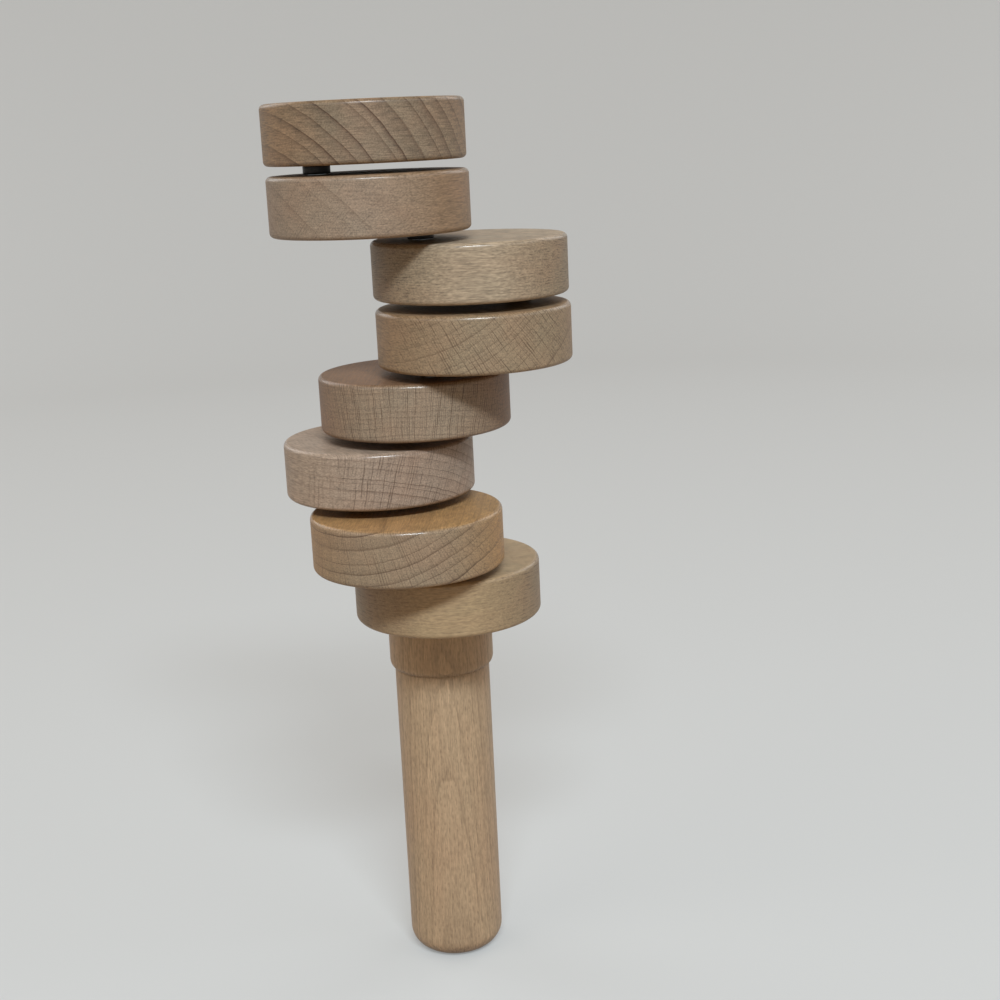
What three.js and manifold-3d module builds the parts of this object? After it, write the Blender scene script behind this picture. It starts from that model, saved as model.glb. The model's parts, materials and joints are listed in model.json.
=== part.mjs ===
// Handheld balancing game: a turned beech handle that carries a stack of equal beech discs.
// Every disc turns freely on a shoulder screw that joins it, off-centre, to the piece below it,
// so the stack can be swung into many shapes while one hand keeps it upright.
//
// Units are millimetres. The origin is the centre of the handle's flat foot, +Z runs up the handle,
// and the stack is seen from -Y.

import * as THREE from "three";
import { mergeVertices } from "three/addons/utils/BufferGeometryUtils.js";
import Module from "manifold-3d";

const wasm = await Module();
wasm.setup();

// Handle: a straight round grip with a slightly larger head
const GRIP_DIAMETER = 36;
const GRIP_LENGTH = 117.4;
const FOOT_ROUNDING = 8;
const HEAD_STEP = 1.7;
const HEAD_HEIGHT = 22.3;
const HEAD_LOWER_ROUNDING = 3;
const HEAD_UPPER_ROUNDING = 2;

// Discs: each has two pivots, on opposite sides of its centre
const DISC_DIAMETER = 68;
const DISC_THICKNESS = 20;
const DISC_ROUNDING = 1.6;
const PIVOT_OFFSET = 17;
const DISC_GAP = 3.3;

// The way each disc points from its lower pivot to its centre, in degrees from +X, lowest disc first
const DISC_DIRECTIONS = [-75, 176, 64, -67, 22, 198, 195, 21];

// Shoulder screws, which turn with the piece that their thread is in
const SHOULDER_DIAMETER = 6;
const SCREW_HEAD_OVERHANG = 2.25;
const SCREW_HEAD_HEIGHT = 3.5;
const SCREW_HEAD_CHAMFER = 0.5;
const SOCKET_ACROSS_CORNERS = 4.6;
const SOCKET_DEPTH = 2;
const THREAD_DIAMETER = 5;
const THREAD_TIP_CHAMFER = 0.8;
const THREAD_TIP_CLEARANCE = 3;

// Counterbores that sink the screw heads into the discs
const COUNTERBORE_DEPTH = 7;
const COUNTERBORE_CLEARANCE = 0.75;

// Brass inserts that hold the threads in the wood
const INSERT_LENGTH = 12;
const INSERT_WALL = 1.4;
const INSERT_LEAD_CHAMFER = 0.6;

// Steel spacers that keep the discs apart
const SPACER_WALL = 1.2;
const SPACER_CHAMFER = 0.3;

// Wave washers under the screw heads, which give each disc a light drag
const WASHER_WIDTH = 2.35;
const WASHER_THICKNESS = 0.5;
const WASHER_WAVE_HEIGHT = 0.4;
const WASHER_WAVES = 3;

// Clearances: between pieces that seat on each other, and round the turning shoulders
const SEAT_GAP = 0.3;
const RUNNING_GAP = 0.4;

// Facets: sides of the large and small round pieces, and how finely a profile's arcs are divided
const LARGE_SIDES = 48;
const BORE_SIDES = 20;
const SCREW_SIDES = 16;
const SOCKET_SIDES = 6;
const STEPS_PER_WAVE = 6;
const STEPS_PER_DISC_EDGE = 1;
const STEPS_PER_HANDLE_EDGE = 2;
const CUT_OVERRUN = 1;
const WELD_DISTANCE = 1e-3;

// Sizes that follow from those above
const HANDLE_LENGTH = GRIP_LENGTH + HEAD_HEIGHT;
const BORE_RADIUS = SHOULDER_DIAMETER / 2 + RUNNING_GAP;
const INSERT_BORE_RADIUS = THREAD_DIAMETER / 2 + SEAT_GAP;
const INSERT_RADIUS = INSERT_BORE_RADIUS + INSERT_WALL;
const WASHER_RADIUS = BORE_RADIUS + WASHER_WIDTH;
const WASHER_HEIGHT = WASHER_THICKNESS + WASHER_WAVE_HEIGHT;
const SCREW_HEAD_RADIUS = SHOULDER_DIAMETER / 2 + SCREW_HEAD_OVERHANG;
const COUNTERBORE_RADIUS = Math.max(WASHER_RADIUS, SCREW_HEAD_RADIUS) + COUNTERBORE_CLEARANCE;
const SPACER_HEIGHT = DISC_GAP - 2 * SEAT_GAP;
const HEAD_RECESS = COUNTERBORE_DEPTH - WASHER_HEIGHT - SCREW_HEAD_HEIGHT - 2 * SEAT_GAP;
const SHOULDER_LENGTH = DISC_THICKNESS + DISC_GAP - HEAD_RECESS - SCREW_HEAD_HEIGHT - SEAT_GAP;
const THREAD_LENGTH = SEAT_GAP + INSERT_LENGTH - THREAD_TIP_CLEARANCE;
const INSERT_HOLE_DEPTH = INSERT_LENGTH + SEAT_GAP;

// Finishes
const FINISHES = {
  beech: { color: "#b8976d", roughness: 0.5, metalness: 0 },
  steel: { color: "#a7a8aa", roughness: 0.35, metalness: 1 },
  darkSteel: { color: "#4a4744", roughness: 0.4, metalness: 1 },
  brass: { color: "#b8965a", roughness: 0.4, metalness: 1 },
};

function piece(name, geometry, finish) {
  const mesh = new THREE.Mesh(geometry, new THREE.MeshStandardMaterial(FINISHES[finish]));
  mesh.name = name;
  return mesh;
}

// A solid of revolution about +Z. The points hold (radius, height).
function turned(points, sides) {
  const geometry = new THREE.LatheGeometry(points, sides);
  geometry.rotateX(Math.PI / 2);
  return geometry;
}

// A profile of straight lines through [radius, height] pairs.
function straightProfile(pairs) {
  return pairs.map(([radius, height]) => new THREE.Vector2(radius, height));
}

function solidOf(geometry) {
  const bare = geometry.clone();
  bare.deleteAttribute("normal");
  bare.deleteAttribute("uv");
  const merged = mergeVertices(bare, WELD_DISTANCE);
  const vertProperties = merged.attributes.position.array;
  const triVerts = new Uint32Array(merged.index.array);
  return new wasm.Manifold(new wasm.Mesh({ numProp: 3, vertProperties, triVerts }));
}

function geometryOf(solid) {
  const { vertProperties, triVerts } = solid.getMesh();
  const geometry = new THREE.BufferGeometry();
  geometry.setAttribute("position", new THREE.BufferAttribute(vertProperties, 3));
  geometry.setIndex(new THREE.BufferAttribute(triVerts, 1));
  geometry.computeVertexNormals();
  return geometry;
}

function cut(body, cutters) {
  const left = cutters.reduce((solid, cutter) => solid.subtract(solidOf(cutter)), solidOf(body));
  return geometryOf(left);
}

// Cutter for a screw's hole through a disc, with the counterbore opening at z = 0.
function screwHole() {
  return turned(
    straightProfile([
      [0, -CUT_OVERRUN],
      [COUNTERBORE_RADIUS, -CUT_OVERRUN],
      [COUNTERBORE_RADIUS, COUNTERBORE_DEPTH],
      [BORE_RADIUS, COUNTERBORE_DEPTH],
      [BORE_RADIUS, DISC_THICKNESS + CUT_OVERRUN],
      [0, DISC_THICKNESS + CUT_OVERRUN],
    ]),
    BORE_SIDES,
  );
}

// Cutter for the blind hole that an insert is pressed into, with its mouth at z = 0.
function insertHole() {
  const radius = INSERT_RADIUS + SEAT_GAP;
  return turned(
    straightProfile([
      [0, -CUT_OVERRUN],
      [radius, -CUT_OVERRUN],
      [radius, INSERT_HOLE_DEPTH],
      [0, INSERT_HOLE_DEPTH],
    ]),
    BORE_SIDES,
  );
}

function handleGeometry() {
  const grip = GRIP_DIAMETER / 2;
  const head = grip + HEAD_STEP;
  const profile = new THREE.Path();
  profile.moveTo(0, 0);
  profile.lineTo(grip - FOOT_ROUNDING, 0);
  profile.absarc(grip - FOOT_ROUNDING, FOOT_ROUNDING, FOOT_ROUNDING, -Math.PI / 2, 0);
  profile.lineTo(grip, GRIP_LENGTH);
  const lowerEdge = GRIP_LENGTH + HEAD_LOWER_ROUNDING;
  profile.absellipse(grip, lowerEdge, HEAD_STEP, HEAD_LOWER_ROUNDING, -Math.PI / 2, 0);
  const upperEdge = HANDLE_LENGTH - HEAD_UPPER_ROUNDING;
  profile.absarc(head - HEAD_UPPER_ROUNDING, upperEdge, HEAD_UPPER_ROUNDING, 0, Math.PI / 2);
  profile.lineTo(0, HANDLE_LENGTH);
  const body = turned(profile.getPoints(STEPS_PER_HANDLE_EDGE), LARGE_SIDES);
  const hole = insertHole().rotateX(Math.PI).translate(0, 0, HANDLE_LENGTH);
  return cut(body, [hole]);
}

// A disc with its lower pivot at the origin and its centre on +X. The lowest disc is screwed down onto
// the handle through its top. The others hold an insert in their underside. Every disc but the top one
// also takes, from below, the screw that carries the next disc.
function discGeometry(isLowest, isTop) {
  const radius = DISC_DIAMETER / 2;
  const corner = radius - DISC_ROUNDING;
  const profile = new THREE.Path();
  profile.moveTo(0, 0);
  profile.lineTo(corner, 0);
  profile.absarc(corner, DISC_ROUNDING, DISC_ROUNDING, -Math.PI / 2, 0);
  profile.absarc(corner, DISC_THICKNESS - DISC_ROUNDING, DISC_ROUNDING, 0, Math.PI / 2);
  profile.lineTo(0, DISC_THICKNESS);
  const body = turned(profile.getPoints(STEPS_PER_DISC_EDGE), LARGE_SIDES).translate(PIVOT_OFFSET, 0, 0);
  const cutters = [];
  if (isLowest) cutters.push(screwHole().rotateX(Math.PI).translate(0, 0, DISC_THICKNESS));
  else cutters.push(insertHole());
  if (!isTop) cutters.push(screwHole().translate(2 * PIVOT_OFFSET, 0, 0));
  return cut(body, cutters);
}

// A shoulder screw with the outer face of its head at z = 0 and its tip up.
function screwGeometry() {
  const shoulder = SHOULDER_DIAMETER / 2;
  const thread = THREAD_DIAMETER / 2;
  const shoulderEnd = SCREW_HEAD_HEIGHT + SHOULDER_LENGTH;
  const tip = shoulderEnd + THREAD_LENGTH;
  const body = turned(
    straightProfile([
      [0, 0],
      [SCREW_HEAD_RADIUS - SCREW_HEAD_CHAMFER, 0],
      [SCREW_HEAD_RADIUS, SCREW_HEAD_CHAMFER],
      [SCREW_HEAD_RADIUS, SCREW_HEAD_HEIGHT],
      [shoulder, SCREW_HEAD_HEIGHT],
      [shoulder, shoulderEnd],
      [thread, shoulderEnd],
      [thread, tip - THREAD_TIP_CHAMFER],
      [thread - THREAD_TIP_CHAMFER, tip],
      [0, tip],
    ]),
    SCREW_SIDES,
  );
  const socketRadius = SOCKET_ACROSS_CORNERS / 2;
  const socket = turned(
    straightProfile([
      [0, -CUT_OVERRUN],
      [socketRadius, -CUT_OVERRUN],
      [socketRadius, SOCKET_DEPTH],
      [0, SOCKET_DEPTH],
    ]),
    SOCKET_SIDES,
  );
  return cut(body, [socket]);
}

// An insert with its mouth at z = 0 and its chamfered leading end up.
function insertGeometry() {
  return turned(
    straightProfile([
      [INSERT_BORE_RADIUS, 0],
      [INSERT_RADIUS, 0],
      [INSERT_RADIUS, INSERT_LENGTH - INSERT_LEAD_CHAMFER],
      [INSERT_RADIUS - INSERT_LEAD_CHAMFER, INSERT_LENGTH],
      [INSERT_BORE_RADIUS, INSERT_LENGTH],
      [INSERT_BORE_RADIUS, 0],
    ]),
    SCREW_SIDES,
  );
}

function spacerGeometry() {
  const outer = BORE_RADIUS + SPACER_WALL;
  return turned(
    straightProfile([
      [BORE_RADIUS, 0],
      [outer - SPACER_CHAMFER, 0],
      [outer, SPACER_CHAMFER],
      [outer, SPACER_HEIGHT - SPACER_CHAMFER],
      [outer - SPACER_CHAMFER, SPACER_HEIGHT],
      [BORE_RADIUS, SPACER_HEIGHT],
      [BORE_RADIUS, 0],
    ]),
    BORE_SIDES,
  );
}

// A flat ring bent into waves round its axis, with its lowest points at z = 0.
function washerGeometry() {
  const ring = turned(
    straightProfile([
      [BORE_RADIUS, 0],
      [WASHER_RADIUS, 0],
      [WASHER_RADIUS, WASHER_THICKNESS],
      [BORE_RADIUS, WASHER_THICKNESS],
      [BORE_RADIUS, 0],
    ]),
    WASHER_WAVES * STEPS_PER_WAVE,
  );
  const position = ring.attributes.position;
  for (let i = 0; i < position.count; i += 1) {
    const angle = Math.atan2(position.getY(i), position.getX(i));
    const lift = (WASHER_WAVE_HEIGHT * (1 + Math.sin(WASHER_WAVES * angle))) / 2;
    position.setZ(i, position.getZ(i) + lift);
  }
  ring.computeVertexNormals();
  return ring;
}

const game = new THREE.Group();
game.add(piece("handle", handleGeometry(), "beech"));

// The stack grows upwards: carrier is the group of the piece below, with its direction, the height of
// its upper face and the place of the pivot on it.
let carrier = game;
let carrierDirection = 0;
let carrierTop = HANDLE_LENGTH;
let carrierPivot = 0;

DISC_DIRECTIONS.forEach((direction, index) => {
  const number = index + 1;
  const isLowest = index === 0;
  const isTop = number === DISC_DIRECTIONS.length;

  const turning = new THREE.Group();
  turning.position.set(carrierPivot, 0, carrierTop + DISC_GAP);
  turning.rotation.z = THREE.MathUtils.degToRad(direction - carrierDirection);
  carrier.add(turning);

  const disc = piece(`disc_${number}`, discGeometry(isLowest, isTop), "beech");
  turning.add(disc);

  const spacer = piece(`spacer_${number}`, spacerGeometry(), "darkSteel");
  spacer.position.set(carrierPivot, 0, carrierTop + SEAT_GAP);
  carrier.add(spacer);

  const screw = piece(`pivot_screw_${number}`, screwGeometry(), "steel");
  const insert = piece(`threaded_insert_${number}`, insertGeometry(), "brass");
  const washer = piece(`wave_washer_${number}`, washerGeometry(), "steel");
  if (isLowest) {
    screw.rotation.x = Math.PI;
    screw.position.z = carrierTop + DISC_GAP + DISC_THICKNESS - HEAD_RECESS;
    insert.rotation.x = Math.PI;
    insert.position.z = carrierTop;
    washer.position.z = DISC_THICKNESS - COUNTERBORE_DEPTH + SEAT_GAP;
    carrier.add(screw, insert);
    turning.add(washer);
  } else {
    screw.position.z = HEAD_RECESS - DISC_THICKNESS - DISC_GAP;
    washer.position.set(carrierPivot, 0, COUNTERBORE_DEPTH - SEAT_GAP - WASHER_HEIGHT);
    turning.add(screw, insert);
    carrier.add(washer);
  }

  carrier = turning;
  carrierDirection = direction;
  carrierTop = DISC_THICKNESS;
  carrierPivot = 2 * PIVOT_OFFSET;
});

export default game;
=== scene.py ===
import json
import math

import bmesh
import bpy
from mathutils import Matrix, Vector


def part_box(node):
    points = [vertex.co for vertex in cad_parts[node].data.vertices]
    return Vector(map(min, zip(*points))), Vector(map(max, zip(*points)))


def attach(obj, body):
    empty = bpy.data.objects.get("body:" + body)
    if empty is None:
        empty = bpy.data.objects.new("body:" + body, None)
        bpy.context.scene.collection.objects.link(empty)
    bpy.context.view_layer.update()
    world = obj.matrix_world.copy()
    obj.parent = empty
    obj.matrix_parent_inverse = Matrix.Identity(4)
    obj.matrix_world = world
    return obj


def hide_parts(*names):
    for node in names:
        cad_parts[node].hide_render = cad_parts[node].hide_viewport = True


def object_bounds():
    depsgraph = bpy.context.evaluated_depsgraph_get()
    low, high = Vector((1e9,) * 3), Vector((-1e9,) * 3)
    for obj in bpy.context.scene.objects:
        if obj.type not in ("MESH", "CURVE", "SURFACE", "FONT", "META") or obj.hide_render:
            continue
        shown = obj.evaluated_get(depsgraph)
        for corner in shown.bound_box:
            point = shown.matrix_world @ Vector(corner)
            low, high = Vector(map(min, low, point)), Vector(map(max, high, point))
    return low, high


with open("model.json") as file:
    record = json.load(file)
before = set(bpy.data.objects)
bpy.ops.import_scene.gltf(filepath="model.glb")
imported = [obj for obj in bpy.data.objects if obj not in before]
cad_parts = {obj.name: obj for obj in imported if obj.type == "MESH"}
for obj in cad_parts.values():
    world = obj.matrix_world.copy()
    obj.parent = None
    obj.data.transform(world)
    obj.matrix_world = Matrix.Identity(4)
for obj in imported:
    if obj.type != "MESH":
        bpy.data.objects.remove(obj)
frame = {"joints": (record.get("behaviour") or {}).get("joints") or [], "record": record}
cad_low, cad_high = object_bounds()

MM = 0.001
UP = Vector((0, 0, 1))
DISC_COUNT = 8

# Wood: the handle's grip and head, and the discs
GRIP_RADIUS = 18 * MM
GRIP_LENGTH = 117.4 * MM
FOOT_ROUNDING = 8 * MM
HEAD_STEP = 1.7 * MM
HEAD_LOWER_ROUNDING = 3 * MM
HEAD_UPPER_ROUNDING = 2 * MM
CREASE_HEIGHT = 0.9 * MM
CREASE_DEPTH = 0.3 * MM
HANDLE_LENGTH = 139.7 * MM
DISC_RADIUS = 33.93 * MM
DISC_THICKNESS = 20 * MM
DISC_ROUNDING = 1.6 * MM
FLAT_MARGIN = 0.2 * MM

# Holes in the wood
COUNTERBORE_RADIUS = 6.5 * MM
COUNTERBORE_DEPTH = 7 * MM
BORE_RADIUS = 3.4 * MM
INSERT_HOLE_RADIUS = 4.5 * MM
INSERT_HOLE_DEPTH = 12.3 * MM
MOUTH_CHAMFER = 0.4 * MM
CUT_OVERRUN = 1 * MM

# Shoulder screws, with the outer face of the head at height 0
SCREW_HEAD_RADIUS = 5.25 * MM
SCREW_HEAD_HEIGHT = 3.5 * MM
SCREW_HEAD_ROUNDING = 0.5 * MM
SOCKET_CORNER_RADIUS = 2.3 * MM
SOCKET_DEPTH = 2 * MM
SOCKET_POINT = 0.575 * MM
SOCKET_SIDES = 6
SHOULDER_RADIUS = 3 * MM
SHOULDER_END = 21 * MM
SCREW_LENGTH = 30.3 * MM
THREAD_RADIUS = 2.5 * MM
THREAD_DEPTH = 0.4 * MM
THREAD_PITCH = 0.8 * MM
SHOULDER_CHAMFER = 0.3 * MM
TIP_CHAMFER = 0.8 * MM

# Brass inserts, spacers and wave washers
INSERT_RADIUS = 4.2 * MM
INSERT_BORE_RADIUS = 2.8 * MM
INSERT_LENGTH = 12 * MM
BARB_HEIGHT = 1.5 * MM
BARB_DEPTH = 0.35 * MM
BARB_SLOPE = 0.9
SPACER_RADIUS = 4.6 * MM
SPACER_HEIGHT = 2.7 * MM
SPACER_ROUNDING = 0.3 * MM
WASHER_RADIUS = 5.75 * MM
WASHER_THICKNESS = 0.5 * MM
WASHER_WAVE_HEIGHT = 0.4 * MM
WASHER_WAVES = 3
WASHER_ROUNDING = 0.08 * MM

# Fineness of the meshes. A profile is swept round a circle of SWEEP_RADIUS, so small that the points
# that it brings together on the axis are welded into one.
WOOD_SIDES = 192
HOLE_SIDES = 64
METAL_SIDES = 96
WOOD_ARC_STEPS = 9
METAL_ARC_STEPS = 4
BOWL_ARC_STEPS = 24
SWEEP_RADIUS = 1e-6
WELD = 4e-6
CREASE_ANGLE = math.radians(32)


# Adding nodes

MATH = "ShaderNodeMath"
VECTOR = "ShaderNodeVectorMath"
SEPARATE = "ShaderNodeSeparateXYZ"
COMBINE = "ShaderNodeCombineXYZ"
COORDINATES = "ShaderNodeTexCoord"
MAPPING = "ShaderNodeMapping"
NOISE = "ShaderNodeTexNoise"
WHITE_NOISE = "ShaderNodeTexWhiteNoise"
RANGE = "ShaderNodeMapRange"
MIX = "ShaderNodeMix"
BUMP = "ShaderNodeBump"
PRINCIPLED = "ShaderNodeBsdfPrincipled"
OUTPUT = "ShaderNodeOutputMaterial"

# Which of the Mix node's outputs holds a colour
MIXED_COLOUR = 2


def linear(hex_colour):
    """The linear RGBA of an sRGB hex colour."""
    channels = [int(hex_colour[i:i + 2], 16) / 255 for i in (1, 3, 5)]
    return [c / 12.92 if c <= 0.04045 else ((c + 0.055) / 1.055) ** 2.4 for c in channels] + [1]


def add(tree, kind, feeds=(), output=0, **settings):
    """Add a node with its settings, feed its inputs from sockets or values, and give one output.

    feeds is a list for the inputs in order, or a dict by name.
    """
    node = tree.nodes.new(kind)
    for name, value in settings.items():
        setattr(node, name, value)
    for place, feed in feeds.items() if isinstance(feeds, dict) else enumerate(feeds):
        if isinstance(feed, bpy.types.NodeSocket):
            tree.links.new(feed, node.inputs[place])
        else:
            node.inputs[place].default_value = feed
    return node.outputs[output] if len(node.outputs) else None


# Turned pieces

def turned_tree():
    """Geometry nodes that turn a profile round the Z axis and can bend the result into waves."""
    tree = bpy.data.node_groups.new("Turned piece", "GeometryNodeTree")
    for label, kind in (
        ("Profile", "NodeSocketGeometry"),
        ("Sides", "NodeSocketInt"),
        ("Waves", "NodeSocketInt"),
        ("Wave Height", "NodeSocketFloat"),
        ("Material", "NodeSocketMaterial"),
    ):
        tree.interface.new_socket(label, in_out="INPUT", socket_type=kind)
    tree.interface.new_socket("Piece", in_out="OUTPUT", socket_type="NodeSocketGeometry")

    sizes = add(tree, "NodeGroupInput").node.outputs
    profile = add(tree, "GeometryNodeMeshToCurve", {"Mesh": sizes["Profile"]})
    circle = add(tree, "GeometryNodeCurvePrimitiveCircle",
                 {"Resolution": sizes["Sides"], "Radius": SWEEP_RADIUS})
    swept = add(tree, "GeometryNodeCurveToMesh", {"Curve": circle, "Profile Curve": profile})
    welded = add(tree, "GeometryNodeMergeByDistance", {"Geometry": swept, "Distance": WELD})

    place = add(tree, "GeometryNodeInputPosition")
    parts = add(tree, SEPARATE, [place]).node.outputs
    angle = add(tree, MATH, [parts["Y"], parts["X"]], operation="ARCTAN2")
    phase = add(tree, MATH, [angle, sizes["Waves"]], operation="MULTIPLY")
    swing = add(tree, MATH, [phase], operation="SINE")
    share = add(tree, MATH, [swing, 0.5, 0.5], operation="MULTIPLY_ADD")
    rise = add(tree, MATH, [share, sizes["Wave Height"]], operation="MULTIPLY")
    lift = add(tree, COMBINE, {"Z": rise})
    waved = add(tree, "GeometryNodeSetPosition", {"Geometry": welded, "Offset": lift})

    real = add(tree, "GeometryNodeRealizeInstances", {"Geometry": waved})
    finished = add(tree, "GeometryNodeSetMaterial", {"Geometry": real, "Material": sizes["Material"]})
    add(tree, "NodeGroupOutput", {"Piece": finished})
    return tree


TURNED = turned_tree()


def link(name, data):
    """A new object in the scene, made of a mesh, a light or a camera."""
    thing = bpy.data.objects.new(name, data)
    bpy.context.scene.collection.objects.link(thing)
    return thing


def bake(piece):
    """Turn what a piece's modifiers make into its plain mesh."""
    graph = bpy.context.evaluated_depsgraph_get()
    made = bpy.data.meshes.new_from_object(piece.evaluated_get(graph))
    piece.modifiers.clear()
    piece.data = made


def turned(name, profile, sides, material, closed=False, waves=0, wave_height=0.0):
    """A piece turned round Z from (radius, height) points. A closed profile makes a ring."""
    points = [(radius - SWEEP_RADIUS, -height, 0) for radius, height in profile]
    edges = [(i, i + 1) for i in range(len(points) - 1)]
    if closed:
        edges.append((len(points) - 1, 0))
    mesh = bpy.data.meshes.new(name)
    mesh.from_pydata(points, edges, [])
    piece = link(name, mesh)
    nodes = piece.modifiers.new("Turned", "NODES")
    nodes.node_group = TURNED
    values = {"Sides": sides, "Waves": waves, "Wave Height": wave_height, "Material": material}
    for item in TURNED.interface.items_tree:
        if item.in_out == "INPUT" and item.name in values:
            nodes[item.identifier] = values[item.name]
    bake(piece)
    return piece


def finish_faces(mesh):
    """Close the seams, point the faces outwards, and smooth all but the real edges."""
    shell = bmesh.new()
    shell.from_mesh(mesh)
    bmesh.ops.remove_doubles(shell, verts=shell.verts, dist=WELD)
    bmesh.ops.recalc_face_normals(shell, faces=shell.faces)
    shell.to_mesh(mesh)
    shell.free()
    mesh.shade_smooth()
    mesh.set_sharp_from_angle(angle=CREASE_ANGLE)


def cut(piece, cutters):
    """Cut the cutters out of a piece and take them away."""
    for cutter in cutters:
        knife = piece.modifiers.new("Cut", "BOOLEAN")
        knife.operation = "DIFFERENCE"
        knife.solver = "EXACT"
        knife.object = cutter
    bake(piece)
    for cutter in cutters:
        bpy.data.objects.remove(cutter)


def arc(centre, radii, start, end, steps):
    """Points of an elliptical arc between two angles in degrees, both ends included."""
    angles = [math.radians(start + (end - start) * i / steps) for i in range(steps + 1)]
    return [(centre[0] + radii[0] * math.cos(a), centre[1] + radii[1] * math.sin(a)) for a in angles]


def rounded(corner, rounding, start, end, steps):
    return arc(corner, (rounding, rounding), start, end, steps)


# Finishes

def new_material(name):
    material = bpy.data.materials.new(name)
    material.use_nodes = True
    material.node_tree.nodes.clear()
    return material, material.node_tree


# Beech, turned, sanded and clear-lacquered. It gives the eye a pale pinkish tan with thin darker
# growth rings, short dark ray flecks along the grain, ray lines on end grain, and a satin face whose
# rounded upper edges shine where hands have polished them.
RING_COLOUR = "#4c3626"
RAY_COLOUR = "#493527"
BLUSH_COLOUR = "#926d54"

# Noise in the log: mm across the fibre, mm along it, detail and the output that is used.
# Fibres and pores are finer than this in the wood, and are drawn as coarse as they need to show.
LOG_GRAIN = {
    "slow drift": (42, 126, 2.0, "Color"),
    "small drift": (7, 21, 2.0, "Color"),
    "blotches": (13, 40, 2.0, "Fac"),
    "streaks": (0.6, 16, 3.0, "Fac"),
    "pores": (0.45, 3.0, 1.0, "Fac"),
}

# How far the log's growth wanders in mm, in long bends and in small ones
SLOW_DRIFT = 4.0
SMALL_DRIFT = 0.9

# Sanding marks run level round each piece: the length of a mark and the space between marks.
# Real ones are finer, and these are drawn as coarse as they need to show.
SANDING_LENGTH = 5 * MM
SANDING_WIDTH = 0.42 * MM
SANDING_DETAIL = 2.0

# The cosine between face and fibre at which a face stops being long grain, and starts being end grain
END_GRAIN_SLOPES = (0.25, 0.9)

# Growth rings: how fast and how far their widths wander, the share that the faintest ring keeps, how
# late in a ring its band and its last line darken, and the share of the ring at which that line stops
RING_PACE = 0.4
RING_WANDER = 2.0
FAINTEST_RING = 0.45
BAND_POWER = 2.0
LINE_POWER = 11.0
RING_END = 0.97

# Rays come in a broad and a fine set: the spacing of their sheets as a share of the broad set's, the
# half width of a sheet as a share of its spacing, and how strongly they show. Each sheet reaches
# RAY_REACH mm outwards. Only a random few reach a given place: SHEET_STEP sets neighbours apart in the
# noise that picks them, and RAY_CHANCE holds the values at which a ray starts to show and shows fully.
RAY_SETS = ((1.0, 0.27, 1.0), (0.55, 0.34, 0.6))
RAY_REACH = 16
SHEET_STEP = 7.3
RAY_CHANCE = (0.46, 0.68)

# The share of rings and rays that long grain shows
LONG_GRAIN_CLARITY = 0.35

# How far each kind of grain lightens and darkens the wood where it shows fully
BLOTCHES = 0.26
STREAKS = 0.6
PORES = 1.0

# The blotches that are pinker than the rest: where they start and are full, and how pink they are
BLUSH_RANGE = (0.4, 0.7)
BLUSH_SHARE = 0.2

# Relief: how far rays sink and blotches swell beside the pores, and how deep it all is
RAY_RELIEF = -0.6
BLOTCH_RELIEF = 3.0
RELIEF_STRENGTH = 0.45
RELIEF_DEPTH = 0.05 * MM

# Lacquer: the roughness of faces and of rounded upper edges, what the pores add to it, and how much of
# an edge a face has to be to start to shine and to shine fully
FACE_DULLNESS = 0.42
EDGE_DULLNESS = 0.13
PORE_DULLNESS = 0.16
EDGE_RANGE = (0.02, 0.14)
LACQUER_IOR = 1.5


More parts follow.
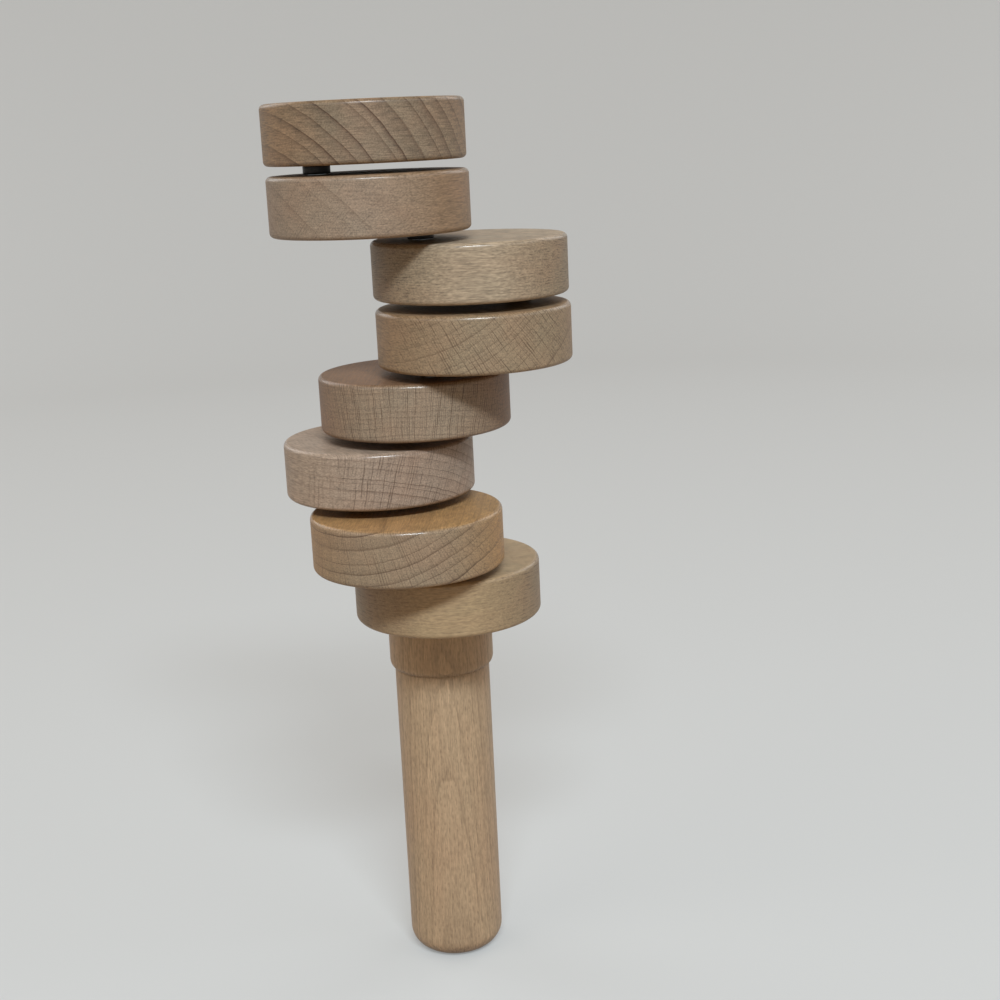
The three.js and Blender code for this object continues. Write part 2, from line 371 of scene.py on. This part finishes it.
def beech(name, centre, fibre, bark, pith, ring, ring_share, ring_band, ray_spacing, ray_height,
          ray_share, figure, sanding, long_grain, end_grain):
    """Beech from a log whose fibre and bark directions cross the piece's centre.

    In mm are the way from there to the log's heart, pith, the width of a growth ring, the spacing of
    the rays and a ray's reach along the grain. ring_share, ray_share, figure and sanding say how
    strongly rings, rays, fibres and sanding marks show, and ring_band how dark a ring grows before
    its last thin line.
    """
    material, tree = new_material(name)
    heart = centre - bark * pith * MM
    turn = Matrix((bark, fibre.cross(bark), fibre)).transposed().to_euler()
    here = add(tree, COORDINATES, output="Object")
    log = add(tree, MAPPING,
              {"Vector": here, "Location": heart, "Rotation": turn, "Scale": [MM] * 3},
              vector_type="TEXTURE")

    grain = {}
    for label, (across, along, detail, part) in LOG_GRAIN.items():
        scaled = add(tree, VECTOR, [log, (1 / across, 1 / across, 1 / along)], operation="MULTIPLY")
        grain[label] = add(tree, NOISE, {"Vector": scaled, "Scale": 1.0, "Detail": detail}, part)
    fineness = (1 / SANDING_LENGTH, 1 / SANDING_LENGTH, 1 / SANDING_WIDTH)
    scaled = add(tree, VECTOR, [here, fineness], operation="MULTIPLY")
    grain["sanding"] = add(tree, NOISE, {"Vector": scaled, "Scale": 1.0, "Detail": SANDING_DETAIL})

    # The log's growth wanders a little, so rings and rays aren't ruled lines
    bent = add(tree, VECTOR, [grain["slow drift"], [SLOW_DRIFT] * 3, log], operation="MULTIPLY_ADD")
    bent = add(tree, VECTOR, [grain["small drift"], [SMALL_DRIFT] * 3, bent], operation="MULTIPLY_ADD")
    parts = add(tree, SEPARATE, [bent]).node.outputs
    across = add(tree, VECTOR, [bent, (1, 1, 0)], operation="MULTIPLY")
    radius = add(tree, VECTOR, [across], "Value", operation="LENGTH")
    angle = add(tree, MATH, [parts["Y"], parts["X"]], operation="ARCTAN2")
    sweep = add(tree, MATH, [angle, pith], operation="MULTIPLY")

    facing = add(tree, COORDINATES, output="Normal")
    slope = add(tree, VECTOR, [facing, fibre], "Value", operation="DOT_PRODUCT")
    slope = add(tree, MATH, [slope], operation="ABSOLUTE")
    on_end = add(tree, RANGE, {"Value": slope, "From Min": END_GRAIN_SLOPES[0],
                               "From Max": END_GRAIN_SLOPES[1]})
    clear = add(tree, MATH, [on_end, 1 - LONG_GRAIN_CLARITY, LONG_GRAIN_CLARITY],
                operation="MULTIPLY_ADD")

    # Growth rings of uneven width: each darkens slowly towards its end and stops at a thin dark line.
    # They are fainter on long grain.
    year = add(tree, MATH, [radius, ring], operation="DIVIDE")
    pace = add(tree, MATH, [year, RING_PACE], operation="MULTIPLY")
    luck = add(tree, NOISE, {"W": pace, "Scale": 1.0}, noise_dimensions="1D")
    year = add(tree, MATH, [luck, RING_WANDER, year], operation="MULTIPLY_ADD")
    season = add(tree, MATH, [year], operation="FRACT")
    count = add(tree, MATH, [year], operation="FLOOR")
    strength = add(tree, WHITE_NOISE, {"W": count}, "Value", noise_dimensions="1D")
    strength = add(tree, MATH, [strength, 1 - FAINTEST_RING, FAINTEST_RING],
                   operation="MULTIPLY_ADD")
    line = add(tree, MATH, [season, LINE_POWER], operation="POWER")
    band = add(tree, MATH, [season, BAND_POWER], operation="POWER")
    late = add(tree, MATH, [band, ring_band, line], operation="MULTIPLY_ADD")
    stop = add(tree, RANGE, {"Value": season, "From Min": RING_END, "To Min": 1.0, "To Max": 0.0})
    rings = add(tree, MATH, [late, stop], operation="MULTIPLY")
    for share in (strength, clear, ring_share):
        rings = add(tree, MATH, [rings, share], operation="MULTIPLY")

    # Rays are thin sheets that run out from the pith: lines on end grain, and short flecks elsewhere,
    # which are fainter
    along = add(tree, MATH, [parts["Z"], ray_height], operation="DIVIDE")
    outwards = add(tree, MATH, [radius, RAY_REACH], operation="DIVIDE")
    rays = 0.0
    for spacing, half_width, share in RAY_SETS:
        sheet = add(tree, MATH, [sweep, spacing * ray_spacing], operation="DIVIDE")
        number = add(tree, MATH, [sheet], operation="FLOOR")
        place = add(tree, MATH, [sheet], operation="FRACT")
        offset = add(tree, MATH, [place, 0.5], operation="SUBTRACT")
        offset = add(tree, MATH, [offset], operation="ABSOLUTE")
        line = add(tree, RANGE, {"Value": offset, "From Max": half_width,
                                 "To Min": 1.0, "To Max": 0.0})
        chance = add(tree, MATH, [number, SHEET_STEP], operation="MULTIPLY")
        spot = add(tree, COMBINE, [chance, along, outwards])
        spot = add(tree, NOISE, {"Vector": spot, "Scale": 1.0, "Detail": 1.0})
        shown = add(tree, RANGE, {"Value": spot, "From Min": RAY_CHANCE[0],
                                  "From Max": RAY_CHANCE[1]})
        line = add(tree, MATH, [line, shown], operation="MULTIPLY")
        rays = add(tree, MATH, [line, share * ray_share, rays], operation="MULTIPLY_ADD")
    rays = add(tree, MATH, [rays, 1.0], operation="MINIMUM")
    rays = add(tree, MATH, [rays, clear], operation="MULTIPLY")

    # Fine grain lightens and darkens the wood about its own tone
    shares = {
        "blotches": BLOTCHES,
        "streaks": STREAKS * figure,
        "pores": PORES * figure,
        "sanding": sanding,
    }
    shade = 1.0 - sum(shares.values()) / 2
    for label, share in shares.items():
        shade = add(tree, MATH, [grain[label], share, shade], operation="MULTIPLY_ADD")
    blush = add(tree, RANGE, {"Value": grain["blotches"], "From Min": BLUSH_RANGE[0],
                              "From Max": BLUSH_RANGE[1], "To Max": BLUSH_SHARE})
    colour = linear(long_grain)
    for share, tint in (
        (on_end, end_grain),
        (blush, BLUSH_COLOUR),
        (rings, RING_COLOUR),
        (rays, RAY_COLOUR),
    ):
        colour = add(tree, MIX, {"Factor": share, "A": colour, "B": linear(tint)}, MIXED_COLOUR,
                     data_type="RGBA")
    colour = add(tree, VECTOR, {0: colour, "Scale": shade}, operation="SCALE")

    height = add(tree, MATH, [rays, RAY_RELIEF, grain["pores"]], operation="MULTIPLY_ADD")
    height = add(tree, MATH, [grain["blotches"], BLOTCH_RELIEF, height], operation="MULTIPLY_ADD")
    relief = add(tree, BUMP, {"Strength": RELIEF_STRENGTH, "Distance": RELIEF_DEPTH,
                              "Height": height})

    # A face that looks up and is neither level nor upright belongs to a rounded upper edge
    rise = add(tree, SEPARATE, [facing], "Z")
    rise = add(tree, MATH, [rise, 0.0], operation="MAXIMUM")
    level = add(tree, MATH, [rise, rise], operation="MULTIPLY")
    upright = add(tree, MATH, [1.0, level], operation="SUBTRACT")
    edge = add(tree, MATH, [level, upright], operation="MULTIPLY")
    polish = add(tree, RANGE, {"Value": edge, "From Min": EDGE_RANGE[0], "From Max": EDGE_RANGE[1],
                               "To Min": FACE_DULLNESS, "To Max": EDGE_DULLNESS})
    dullness = add(tree, MATH, [grain["pores"], PORE_DULLNESS, polish], operation="MULTIPLY_ADD")
    shader = add(tree, PRINCIPLED, {"Base Color": colour, "Roughness": dullness, "Normal": relief,
                                    "IOR": LACQUER_IOR})
    add(tree, OUTPUT, {"Surface": shader})
    return material


# Tool marks on turned metal: how many times longer than wide they are, how far they spread its
# roughness, and their relief
MARK_STRETCH = 8
MARK_DETAIL = 3.0
MARK_DULLNESS = 0.2
MARK_STRENGTH = 0.3
MARK_DEPTH = 0.02 * MM


def turned_metal(name, bright, dark, roughness, mark_width):
    """A turned metal: level tool marks of that width, a little brighter and darker by turns."""
    material, tree = new_material(name)
    here = add(tree, COORDINATES, output="Object")
    along = 1 / (MARK_STRETCH * mark_width)
    scaled = add(tree, VECTOR, [here, (along, along, 1 / mark_width)], operation="MULTIPLY")
    marks = add(tree, NOISE, {"Vector": scaled, "Scale": 1.0, "Detail": MARK_DETAIL})
    colour = add(tree, MIX, {"Factor": marks, "A": linear(bright), "B": linear(dark)}, MIXED_COLOUR,
                 data_type="RGBA")
    dullness = add(tree, MATH, [marks, MARK_DULLNESS, roughness - MARK_DULLNESS / 2],
                   operation="MULTIPLY_ADD")
    relief = add(tree, BUMP, {"Strength": MARK_STRENGTH, "Distance": MARK_DEPTH, "Height": marks})
    shader = add(tree, PRINCIPLED, {"Base Color": colour, "Metallic": 1.0, "Roughness": dullness,
                                    "Normal": relief})
    add(tree, OUTPUT, {"Surface": shader})
    return material


# Zinc-plated steel of the screws: a cool bright grey with a satin gleam
SCREW_STEEL = turned_metal("zinc_plated_steel", "#c3c6c8", "#8f9396", 0.32, 0.25 * MM)
# Blackened steel of the spacers: nearly black, with a soft glint along the turned edge
SPACER_STEEL = turned_metal("blackened_steel", "#4a4643", "#2c2a28", 0.36, 0.2 * MM)
# Spring steel of the washers: a duller grey than the screws
WASHER_STEEL = turned_metal("spring_steel", "#9c9ea0", "#6c6e70", 0.4, 0.25 * MM)
# Turned brass of the inserts: a warm yellow metal
INSERT_BRASS = turned_metal("turned_brass", "#c8a45c", "#94753a", 0.34, 0.25 * MM)


# Each disc's plank: which way its fibre runs, in degrees from +X, how its growth is turned about the
# fibre, in degrees, and then what beech() takes: the way to the pith, the rings and the rays in mm, how
# strongly each kind of grain shows, and the tones of long grain and of end grain
PLANKS = {
    1: dict(fibre=4, turn=5, pith=110, ring=5.0, ring_share=0.2, ring_band=0.25,
            ray_spacing=1.2, ray_height=1.8, ray_share=0.6, figure=0.7, sanding=0.4,
            long_grain="#ab9777", end_grain="#907f66"),
    2: dict(fibre=86, turn=-73, pith=83, ring=4.0, ring_share=1.3, ring_band=0.2,
            ray_spacing=0.85, ray_height=2.5, ray_share=0.5, figure=1.0, sanding=0.5,
            long_grain="#a88659", end_grain="#978872"),
    3: dict(fibre=122, turn=73, pith=120, ring=2.8, ring_share=1.0, ring_band=0.25,
            ray_spacing=0.8, ray_height=4.0, ray_share=0.8, figure=1.0, sanding=0.5,
            long_grain="#a99988", end_grain="#9f9081"),
    # Disc 4's long-grain tone is partly the wood's own brown and partly painted shade: it is darkened
    # to paint the shade that falls on its top face.
    4: dict(fibre=88, turn=90, pith=150, ring=1.9, ring_share=0.55, ring_band=0.25,
            ray_spacing=0.62, ray_height=3.0, ray_share=1.0, figure=1.0, sanding=0.5,
            long_grain="#7d6046", end_grain="#978976"),
    5: dict(fibre=108, turn=-55, pith=130, ring=2.3, ring_share=0.7, ring_band=0.25,
            ray_spacing=0.75, ray_height=3.0, ray_share=0.85, figure=1.0, sanding=0.5,
            long_grain="#927b5e", end_grain="#96876f"),
    6: dict(fibre=3, turn=8, pith=90, ring=2.5, ring_share=0.1, ring_band=0.25,
            ray_spacing=0.7, ray_height=1.5, ray_share=0.8, figure=1.0, sanding=0.9,
            long_grain="#a59781", end_grain="#8e7f68"),
    7: dict(fibre=62, turn=50, pith=120, ring=7.0, ring_share=0.3, ring_band=0.5,
            ray_spacing=1.2, ray_height=2.0, ray_share=0.25, figure=1.0, sanding=0.8,
            long_grain="#8c755c", end_grain="#938574"),
    8: dict(fibre=105, turn=39, pith=83, ring=4.6, ring_share=0.85, ring_band=0.9,
            ray_spacing=1.2, ray_height=2.0, ray_share=0.2, figure=1.0, sanding=1.3,
            long_grain="#8a7356", end_grain="#827562"),
}

# The handle's wood, whose fibre leans a few degrees from the handle
HANDLE_LEAN = 2.5
HANDLE_WOOD = dict(pith=60, ring=2.4, ring_share=1.0, ring_band=0.5,
                   ray_spacing=1.1, ray_height=2.0, ray_share=0.9, figure=0.8, sanding=0.05,
                   long_grain="#b9a386", end_grain="#8c775e")


def disc_beech(number, centre):
    plank = dict(PLANKS[number])
    angle = math.radians(plank.pop("fibre"))
    turn = math.radians(plank.pop("turn"))
    fibre = Vector((math.cos(angle), math.sin(angle), 0))
    level = Vector((math.sin(angle), -math.cos(angle), 0))
    bark = level * math.cos(turn) + UP * math.sin(turn)
    return beech(f"lacquered_beech_{number}", centre, fibre, bark, **plank)


def handle_beech(centre):
    lean = math.radians(HANDLE_LEAN)
    fibre = Vector((0, -math.sin(lean), math.cos(lean)))
    bark = Vector((0, -math.cos(lean), -math.sin(lean)))
    return beech("lacquered_beech_handle", centre, fibre, bark, **HANDLE_WOOD)


# Wooden pieces

def handle_profile():
    head = GRIP_RADIUS + HEAD_STEP
    foot_flat = GRIP_RADIUS - FOOT_ROUNDING
    top_flat = head - HEAD_UPPER_ROUNDING
    return [
        (0, 0),
        (foot_flat - FLAT_MARGIN, 0),
        *rounded((foot_flat, FOOT_ROUNDING), FOOT_ROUNDING, -90, 0, 2 * WOOD_ARC_STEPS),
        (GRIP_RADIUS, FOOT_ROUNDING + FLAT_MARGIN),
        (GRIP_RADIUS, GRIP_LENGTH - CREASE_HEIGHT - FLAT_MARGIN),
        (GRIP_RADIUS, GRIP_LENGTH - CREASE_HEIGHT),
        (GRIP_RADIUS - CREASE_DEPTH, GRIP_LENGTH - CREASE_HEIGHT / 3),
        (GRIP_RADIUS - CREASE_DEPTH, GRIP_LENGTH),
        *arc((GRIP_RADIUS, GRIP_LENGTH + HEAD_LOWER_ROUNDING), (HEAD_STEP, HEAD_LOWER_ROUNDING),
             -90, 0, WOOD_ARC_STEPS),
        (head, GRIP_LENGTH + HEAD_LOWER_ROUNDING + FLAT_MARGIN),
        (head, HANDLE_LENGTH - HEAD_UPPER_ROUNDING - FLAT_MARGIN),
        *rounded((top_flat, HANDLE_LENGTH - HEAD_UPPER_ROUNDING), HEAD_UPPER_ROUNDING,
                 0, 90, WOOD_ARC_STEPS),
        (top_flat - FLAT_MARGIN, HANDLE_LENGTH),
        (0, HANDLE_LENGTH),
    ]


def disc_profile():
    flat = DISC_RADIUS - DISC_ROUNDING
    upper = DISC_THICKNESS - DISC_ROUNDING
    return [
        (0, 0),
        (flat - FLAT_MARGIN, 0),
        *rounded((flat, DISC_ROUNDING), DISC_ROUNDING, -90, 0, WOOD_ARC_STEPS),
        (DISC_RADIUS, DISC_ROUNDING + FLAT_MARGIN),
        (DISC_RADIUS, upper - FLAT_MARGIN),
        *rounded((flat, upper), DISC_ROUNDING, 0, 90, WOOD_ARC_STEPS),
        (flat - FLAT_MARGIN, DISC_THICKNESS),
        (0, DISC_THICKNESS),
    ]


def screw_hole(name, material):
    """Cutter for a counterbored hole through a disc, with the counterbore opening at height 0."""
    mouth = COUNTERBORE_RADIUS + MOUTH_CHAMFER
    exit_mouth = BORE_RADIUS + MOUTH_CHAMFER
    return turned(name, [
        (0, -CUT_OVERRUN),
        (mouth, -CUT_OVERRUN),
        (mouth, 0),
        (COUNTERBORE_RADIUS, MOUTH_CHAMFER),
        (COUNTERBORE_RADIUS, COUNTERBORE_DEPTH),
        (BORE_RADIUS, COUNTERBORE_DEPTH),
        (BORE_RADIUS, DISC_THICKNESS - MOUTH_CHAMFER),
        (exit_mouth, DISC_THICKNESS),
        (exit_mouth, DISC_THICKNESS + CUT_OVERRUN),
        (0, DISC_THICKNESS + CUT_OVERRUN),
    ], HOLE_SIDES, material)


def insert_hole(name, material):
    """Cutter for the blind hole of an insert, with its mouth at height 0."""
    mouth = INSERT_HOLE_RADIUS + MOUTH_CHAMFER
    return turned(name, [
        (0, -CUT_OVERRUN),
        (mouth, -CUT_OVERRUN),
        (mouth, 0),
        (INSERT_HOLE_RADIUS, MOUTH_CHAMFER),
        (INSERT_HOLE_RADIUS, INSERT_HOLE_DEPTH),
        (0, INSERT_HOLE_DEPTH),
    ], HOLE_SIDES, material)


def put(piece, place, upside_down=False):
    """Move a piece's mesh to its place, turned over if need be."""
    flip = Matrix.Rotation(math.pi, 4, "X") if upside_down else Matrix.Identity(4)
    piece.data.transform(Matrix.Translation(place) @ flip)
    return piece


def settle(piece, body, node):
    """Finish a piece's faces and hand it to the body and the node that it stands for."""
    finish_faces(piece.data)
    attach(piece, body)
    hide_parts(node)


PIVOTS = [Vector(joint["pos_m"]) for joint in frame["joints"]]
BODIES = frame["record"]["behaviour"]["bodies"]
BODY_OF = {node: body for body, nodes in BODIES.items() for node in nodes}


def make_handle():
    low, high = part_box("handle")
    wood = handle_beech((low + high) / 2)
    handle = turned("beech_handle", handle_profile(), WOOD_SIDES, wood)
    hole = put(insert_hole("handle_hole", wood), Vector((0, 0, HANDLE_LENGTH)), upside_down=True)
    cut(handle, [hole])
    settle(handle, "handle", "handle")


def make_disc(number):
    low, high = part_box(f"disc_{number}")
    centre = (low + high) / 2
    wood = disc_beech(number, centre)
    disc = turned(f"beech_disc_{number}", disc_profile(), WOOD_SIDES, wood)
    put(disc, Vector((centre.x, centre.y, low.z)))
    lower_pivot = PIVOTS[number - 1]
    holes = []
    if number == 1:
        mouth = lower_pivot + UP * DISC_THICKNESS
        holes.append(put(screw_hole("first_screw_hole", wood), mouth, upside_down=True))
    else:
        holes.append(put(insert_hole("insert_hole", wood), lower_pivot))
    if number < DISC_COUNT:
        next_pivot = PIVOTS[number]
        holes.append(put(screw_hole("screw_hole", wood), Vector((next_pivot.x, next_pivot.y, low.z))))
    cut(disc, holes)
    settle(disc, f"disc_{number}", f"disc_{number}")


# Hardware at each pivot

def screw_profile():
    head_edge = SCREW_HEAD_RADIUS - SCREW_HEAD_ROUNDING
    points = [
        (0, 0),
        *rounded((head_edge, SCREW_HEAD_ROUNDING), SCREW_HEAD_ROUNDING, -90, 0, METAL_ARC_STEPS),
        (SCREW_HEAD_RADIUS, SCREW_HEAD_HEIGHT),
        (SHOULDER_RADIUS, SCREW_HEAD_HEIGHT),
        (SHOULDER_RADIUS, SHOULDER_END - SHOULDER_CHAMFER),
        (SHOULDER_RADIUS - SHOULDER_CHAMFER, SHOULDER_END),
    ]
    root = THREAD_RADIUS - THREAD_DEPTH
    turns = int((SCREW_LENGTH - TIP_CHAMFER - SHOULDER_END) / THREAD_PITCH)
    for turn in range(turns):
        start = SHOULDER_END + turn * THREAD_PITCH
        points += [(root, start), (THREAD_RADIUS, start + THREAD_PITCH / 2)]
    points += [
        (root, SHOULDER_END + turns * THREAD_PITCH),
        (root - TIP_CHAMFER / 2, SCREW_LENGTH),
        (0, SCREW_LENGTH),
    ]
    return points


def make_screw(name):
    screw = turned(name, screw_profile(), METAL_SIDES, SCREW_STEEL)
    socket = turned("socket", [
        (0, -CUT_OVERRUN),
        (SOCKET_CORNER_RADIUS, -CUT_OVERRUN),
        (SOCKET_CORNER_RADIUS, SOCKET_DEPTH),
        (0, SOCKET_DEPTH + SOCKET_POINT),
    ], SOCKET_SIDES, SCREW_STEEL)
    cut(screw, [socket])
    return screw


def make_insert(name):
    root = INSERT_RADIUS - BARB_DEPTH
    barbs = int(INSERT_LENGTH / BARB_HEIGHT)
    outside = []
    for barb in range(barbs):
        start = barb * BARB_HEIGHT
        outside += [(INSERT_RADIUS, start), (root, start + BARB_SLOPE * BARB_HEIGHT)]
    profile = [
        (INSERT_BORE_RADIUS, 0),
        *outside,
        (root, INSERT_LENGTH),
        (INSERT_BORE_RADIUS, INSERT_LENGTH),
    ]
    return turned(name, profile, METAL_SIDES, INSERT_BRASS, closed=True)


def ring_profile(inner, outer, height, rounding):
    """A ring's section with rounded outer edges."""
    return [
        (inner, 0),
        *rounded((outer - rounding, rounding), rounding, -90, 0, METAL_ARC_STEPS),
        *rounded((outer - rounding, height - rounding), rounding, 0, 90, METAL_ARC_STEPS),
        (inner, height),
    ]


def make_spacer(name):
    profile = ring_profile(BORE_RADIUS, SPACER_RADIUS, SPACER_HEIGHT, SPACER_ROUNDING)
    return turned(name, profile, METAL_SIDES, SPACER_STEEL, closed=True)


def make_washer(name):
    profile = ring_profile(BORE_RADIUS, WASHER_RADIUS, WASHER_THICKNESS, WASHER_ROUNDING)
    return turned(name, profile, METAL_SIDES, WASHER_STEEL, closed=True,
                  waves=WASHER_WAVES, wave_height=WASHER_WAVE_HEIGHT)


HARDWARE = {
    "pivot_screw": (make_screw, "steel_pivot_screw", "screw_steel"),
    "threaded_insert": (make_insert, "brass_insert", "insert_brass"),
    "spacer": (make_spacer, "steel_spacer", "spacer_steel"),
    "wave_washer": (make_washer, "steel_wave_washer", "washer_steel"),
}


def make_hardware(kind, number):
    make, label, slot = HARDWARE[kind]
    node = f"{kind}_{number}"
    low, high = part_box(node)
    pivot = PIVOTS[number - 1]
    upside_down = number == 1 and kind in ("pivot_screw", "threaded_insert")
    height = high.z if upside_down else low.z
    piece = put(make(f"{label}_{number}"), Vector((pivot.x, pivot.y, height)), upside_down)
    settle(piece, BODY_OF[node], node)


make_handle()
for number in range(1, DISC_COUNT + 1):
    make_disc(number)
    for kind in HARDWARE:
        make_hardware(kind, number)


# Stage: one pale bowl, flat under the object and rising all round with no edge

FLOOR_COLOUR = "#d2d7d8"
BOUNCE_COLOUR = "#a08c74"
GLOW_SHARE = 0.36
FLOOR_RADIUS = 1.5
FLOOR_RISE = 0.9
WALL_HEIGHT = 2.2


def background_paper():
    """Seamless paper: an even pale grey with no shine.

    What it sends back onto the object is darker and warmer than what the camera sees.
    """
    material, tree = new_material("background_paper")
    rays = add(tree, "ShaderNodeLightPath").node.outputs
    seen = add(tree, MATH, [rays["Is Camera Ray"], rays["Is Glossy Ray"]], operation="MAXIMUM")
    seen = add(tree, MATH, [seen, rays["Is Transmission Ray"]], operation="MAXIMUM")
    plain = add(tree, PRINCIPLED, {"Base Color": linear(FLOOR_COLOUR), "Roughness": 0.9,
                                   "Specular IOR Level": 0.0})
    glow = add(tree, "ShaderNodeEmission", {"Color": linear(FLOOR_COLOUR)})
    pale = add(tree, "ShaderNodeMixShader", [GLOW_SHARE, plain, glow])
    bounce = add(tree, "ShaderNodeBsdfDiffuse", {"Color": linear(BOUNCE_COLOUR)})
    either = add(tree, "ShaderNodeMixShader", [seen, bounce, pale])
    add(tree, OUTPUT, {"Surface": either})
    return material


def make_stage():
    profile = [(0, 0), *rounded((FLOOR_RADIUS, FLOOR_RISE), FLOOR_RISE, -90, 0, BOWL_ARC_STEPS),
               (FLOOR_RADIUS + FLOOR_RISE, WALL_HEIGHT)]
    bowl = turned("background_bowl", profile, WOOD_SIDES, background_paper())
    bowl.data.shade_smooth()


# Light: a wide soft lamp above and in front, weaker ones on both sides and behind, and an even warm
# sky. Each lamp's turn is in degrees from the front, to the right, its height in degrees above level,
# its width and depth in metres and its power in watts.

LAMP_DISTANCE = 2.2
LAMPS = {
    "key_lamp": dict(turn=8, height=42, width=1.0, depth=0.25, power=38, colour="#f2f9ff"),
    "left_lamp": dict(turn=-60, height=35, width=1.4, depth=1.4, power=6, colour="#fff4e8"),
    "right_lamp": dict(turn=75, height=30, width=1.4, depth=1.4, power=5, colour="#f2f7ff"),
    "left_back_lamp": dict(turn=-130, height=30, width=1.4, depth=1.4, power=7, colour="#ffffff"),
    "right_back_lamp": dict(turn=130, height=30, width=1.4, depth=1.4, power=7, colour="#ffffff"),
}
SKY_COLOUR = "#ffe6d0"
SKY_STRENGTH = 0.42


def aim(thing, place, target, up=UP):
    """Put a lamp or camera at a place, looking at a target."""
    back = (place - target).normalized()
    right = up.cross(back).normalized()
    turn = Matrix((right, back.cross(right), back)).transposed()
    thing.matrix_world = Matrix.Translation(place) @ turn.to_4x4()


def make_lamp(name, turn, height, width, depth, power, colour):
    middle = (cad_low + cad_high) / 2
    turn, height = math.radians(turn), math.radians(height)
    reach = math.cos(height)
    way = Vector((math.sin(turn) * reach, -math.cos(turn) * reach, math.sin(height)))
    light = bpy.data.lights.new(name, "AREA")
    light.shape = "RECTANGLE"
    light.size = width
    light.size_y = depth
    light.energy = power
    light.color = linear(colour)[:3]
    lamp = link(name, light)
    lamp.visible_camera = False
    aim(lamp, middle + way * LAMP_DISTANCE, middle)


def make_sky():
    world = bpy.data.worlds.new("soft_sky")
    bpy.context.scene.world = world
    world.use_nodes = True
    sky = world.node_tree.nodes["Background"]
    sky.inputs["Color"].default_value = linear(SKY_COLOUR)
    sky.inputs["Strength"].default_value = SKY_STRENGTH


# Camera: the photograph's viewing angle, found from the rims of the discs, with its lens in mm

CAMERA_PLACE = Vector((25.57, -559.47, 315.89)) * MM
CAMERA_LOOK = Vector((-0.0009, 0.9717, -0.2362))
CAMERA_UP = Vector((0.046, 0.236, 0.9707))
CAMERA_LENS = 55.39
SENSOR_WIDTH = 36
CLIP_START = 10 * MM


def make_camera():
    lens = bpy.data.cameras.new("camera")
    lens.sensor_width = SENSOR_WIDTH
    lens.lens = CAMERA_LENS
    lens.clip_start = CLIP_START
    camera = link("camera", lens)
    aim(camera, CAMERA_PLACE, CAMERA_PLACE + CAMERA_LOOK, CAMERA_UP)
    bpy.context.scene.camera = camera


make_stage()
for name, lamp in LAMPS.items():
    make_lamp(name, **lamp)
make_sky()
make_camera()
bpy.context.scene.view_settings.view_transform = "Standard"
